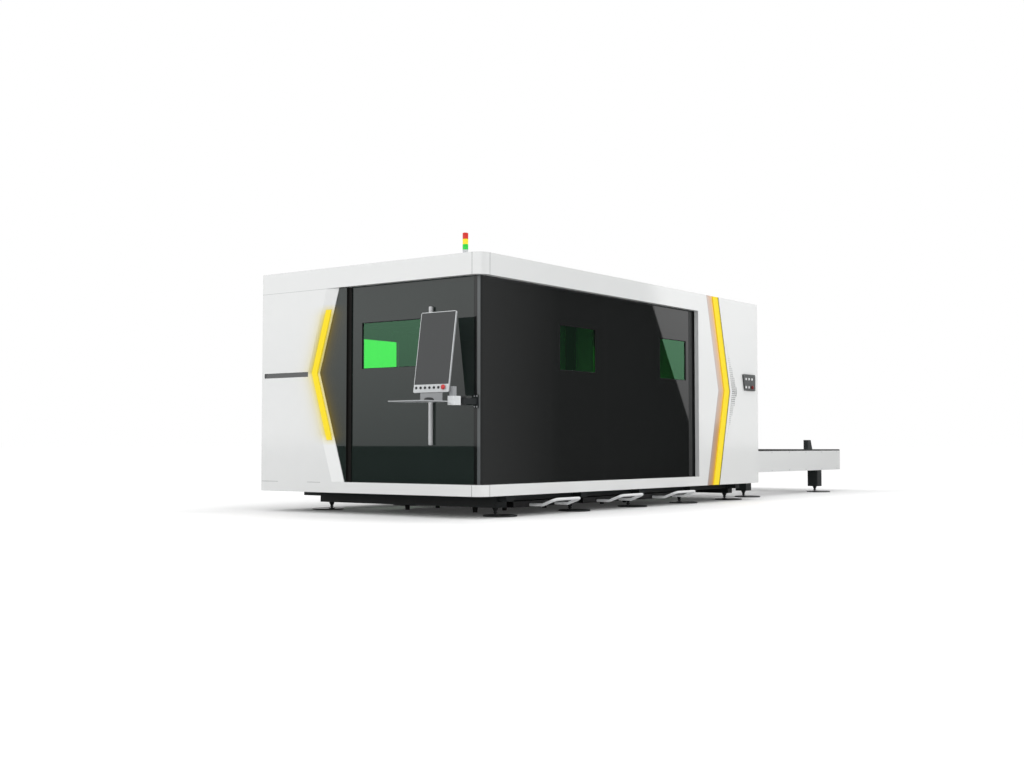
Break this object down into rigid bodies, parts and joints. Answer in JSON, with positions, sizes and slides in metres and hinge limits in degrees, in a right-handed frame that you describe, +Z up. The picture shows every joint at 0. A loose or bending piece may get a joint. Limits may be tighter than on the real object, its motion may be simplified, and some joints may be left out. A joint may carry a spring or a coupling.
{
  "type": "fiber laser cutting machine",
  "caption": "Enclosed fiber laser cutting machine with green viewing windows, a sliding front door, a swinging console, scrap trays and a low exchange table.",
  "frame": {"origin": "middle of the whole footprint on the floor", "axes": "+X from the operator's end to the exchange table, +Y from the console side across to the far side, +Z up"},
  "size_m": [8.894, 2.733, 2.401],
  "materials": {
    "white_paint": "smooth white powder coat",
    "black_frame": "satin black paint",
    "grey_bed": "grey machine paint",
    "dark_panel": "glossy dark panel",
    "green_glass": "green laser-safe viewing pane",
    "yellow_light": "lit yellow diffuser",
    "bright_steel": "brushed",
    "light_grey": "light grey powder coat",
    "screen": "dark glossy screen",
    "black_plastic": "satin black",
    "light_button": "light button cap",
    "red_plastic": "red mushroom cap",
    "green_lens": "green lens",
    "yellow_lens": "yellow lens",
    "red_lens": "red lens"
  },
  "bodies": {
    "machine": {"base_frame": "black_frame", "machine_bed": "grey_bed", "bed_rails": "bright_steel", "pallet_runways": "grey_bed", "levelling_feet": "black_frame", "cabin_frame": "black_frame", "roof_panel": "white_paint", "roof_fascia": "white_paint", "sill_band": "white_paint", "corner_post": "dark_panel", "side_panels": "dark_panel", "far_side_panels": "dark_panel", "side_windows": "green_glass", "end_cover": "white_paint", "far_end_cover": "white_paint", "side_light_strips": "yellow_light", "front_cover": "white_paint", "front_light_strip": "yellow_light", "front_infill": "dark_panel", "door_track": "bright_steel", "end_wall": "white_paint", "table_frame": "black_frame", "table_side_covers": "white_paint", "table_drive": "black_frame", "tower_base": "light_grey", "tower_green": "green_lens", "tower_yellow": "yellow_lens", "tower_red": "red_lens", "console_bracket": "black_frame", "control_box": "black_plastic"},
    "front_door": {"front_door": "dark_panel", "front_door_window": "green_glass", "front_door_handle": "bright_steel"},
    "gantry": {"gantry_beam": "grey_bed"},
    "carriage": {"y_carriage": "dark_panel"},
    "head": {"cutting_head": "bright_steel"},
    "upper_pallet": {"upper_pallet": "grey_bed"},
    "lower_pallet": {"lower_pallet": "grey_bed"},
    "exchange_gate": {"exchange_gate": "grey_bed"},
    "console_arm": {"console_arm": "light_grey"},
    "console": {"console_housing": "light_grey", "console_screen": "screen", "keyboard_shelf": "light_grey", "mouse": "black_plastic"},
    "console_stop": {"console_stop_button": "red_plastic"},
    "box_stop": {"box_stop_button": "red_plastic"},
    "tray_1": {"scrap_tray_1": "black_frame"},
    "tray_2": {"scrap_tray_2": "black_frame"},
    "tray_3": {"scrap_tray_3": "black_frame"},
    "console_button_1": {"console_button_1": "black_plastic"},
    "console_button_2": {"console_button_2": "black_plastic"},
    "console_button_3": {"console_button_3": "black_plastic"},
    "console_button_4": {"console_button_4": "black_plastic"},
    "console_button_5": {"console_button_5": "black_plastic"},
    "console_button_6": {"console_button_6": "black_plastic"},
    "box_button_1": {"box_button_1": "light_button"},
    "box_button_2": {"box_button_2": "light_button"},
    "box_button_3": {"box_button_3": "light_button"},
    "box_button_4": {"box_button_4": "light_button"},
    "box_button_5": {"box_button_5": "light_button"}
  },
  "joints": [
    {"name": "door_slide", "type": "slide", "parent": "machine", "child": "front_door", "axis": [0, 1, 0], "range_m": [0, 0.87]},
    {"name": "gantry_travel", "type": "slide", "parent": "machine", "child": "gantry", "axis": [1, 0, 0], "range_m": [-3.2, 0.35]},
    {"name": "carriage_travel", "type": "slide", "parent": "gantry", "child": "carriage", "axis": [0, 1, 0], "range_m": [-0.7, 0.7]},
    {"name": "head_lift", "type": "slide", "parent": "carriage", "child": "head", "axis": [0, 0, 1], "range_m": [-0.045, 0.15]},
    {"name": "upper_pallet_slide", "type": "slide", "parent": "machine", "child": "upper_pallet", "axis": [1, 0, 0], "range_m": [0, 3.75]},
    {"name": "lower_pallet_slide", "type": "slide", "parent": "machine", "child": "lower_pallet", "axis": [1, 0, 0], "range_m": [-3.75, 0]},
    {"name": "gate_lift", "type": "slide", "parent": "machine", "child": "exchange_gate", "axis": [0, 0, 1], "range_m": [-0.33, 0]},
    {"name": "console_swing", "type": "hinge", "parent": "machine", "child": "console_arm", "pos_m": [-3.982, -1.1375, 0.9665], "axis": [0, 0, 1], "range_deg": [0, 80]},
    {"name": "console_swivel", "type": "hinge", "parent": "console_arm", "child": "console", "pos_m": [-4.097, -1.1335, 1.0033], "axis": [0, 0, 1], "range_deg": [-15, 30]},
    {"name": "console_stop_press", "type": "slide", "parent": "console", "child": "console_stop", "axis": [0.9882, 0, -0.153], "range_m": [0, 0.003], "stiffness_N_per_m": 1500},
    {"name": "box_stop_press", "type": "slide", "parent": "machine", "child": "box_stop", "axis": [0, 1, 0], "range_m": [0, 0.003], "stiffness_N_per_m": 1500},
    {"name": "tray_1_pull", "type": "slide", "parent": "machine", "child": "tray_1", "axis": [0, -1, 0], "range_m": [0, 1]},
    {"name": "tray_2_pull", "type": "slide", "parent": "machine", "child": "tray_2", "axis": [0, -1, 0], "range_m": [0, 1]},
    {"name": "tray_3_pull", "type": "slide", "parent": "machine", "child": "tray_3", "axis": [0, -1, 0], "range_m": [0, 1]},
    {"name": "console_button_1_press", "type": "slide", "parent": "console", "child": "console_button_1", "axis": [0.9882, 0, -0.153], "range_m": [0, 0.003], "stiffness_N_per_m": 1500},
    {"name": "console_button_2_press", "type": "slide", "parent": "console", "child": "console_button_2", "axis": [0.9882, 0, -0.153], "range_m": [0, 0.003], "stiffness_N_per_m": 1500},
    {"name": "console_button_3_press", "type": "slide", "parent": "console", "child": "console_button_3", "axis": [0.9882, 0, -0.153], "range_m": [0, 0.003], "stiffness_N_per_m": 1500},
    {"name": "console_button_4_press", "type": "slide", "parent": "console", "child": "console_button_4", "axis": [0.9882, 0, -0.153], "range_m": [0, 0.003], "stiffness_N_per_m": 1500},
    {"name": "console_button_5_press", "type": "slide", "parent": "console", "child": "console_button_5", "axis": [0.9882, 0, -0.153], "range_m": [0, 0.003], "stiffness_N_per_m": 1500},
    {"name": "console_button_6_press", "type": "slide", "parent": "console", "child": "console_button_6", "axis": [0.9882, 0, -0.153], "range_m": [0, 0.003], "stiffness_N_per_m": 1500},
    {"name": "box_button_1_press", "type": "slide", "parent": "machine", "child": "box_button_1", "axis": [0, 1, 0], "range_m": [0, 0.003], "stiffness_N_per_m": 1500},
    {"name": "box_button_2_press", "type": "slide", "parent": "machine", "child": "box_button_2", "axis": [0, 1, 0], "range_m": [0, 0.003], "stiffness_N_per_m": 1500},
    {"name": "box_button_3_press", "type": "slide", "parent": "machine", "child": "box_button_3", "axis": [0, 1, 0], "range_m": [0, 0.003], "stiffness_N_per_m": 1500},
    {"name": "box_button_4_press", "type": "slide", "parent": "machine", "child": "box_button_4", "axis": [0, 1, 0], "range_m": [0, 0.003], "stiffness_N_per_m": 1500},
    {"name": "box_button_5_press", "type": "slide", "parent": "machine", "child": "box_button_5", "axis": [0, 1, 0], "range_m": [0, 0.003], "stiffness_N_per_m": 1500}
  ],
  "couplings": [
    {"joint": "lower_pallet_slide", "follows": "upper_pallet_slide", "ratio": -1}
  ]
}
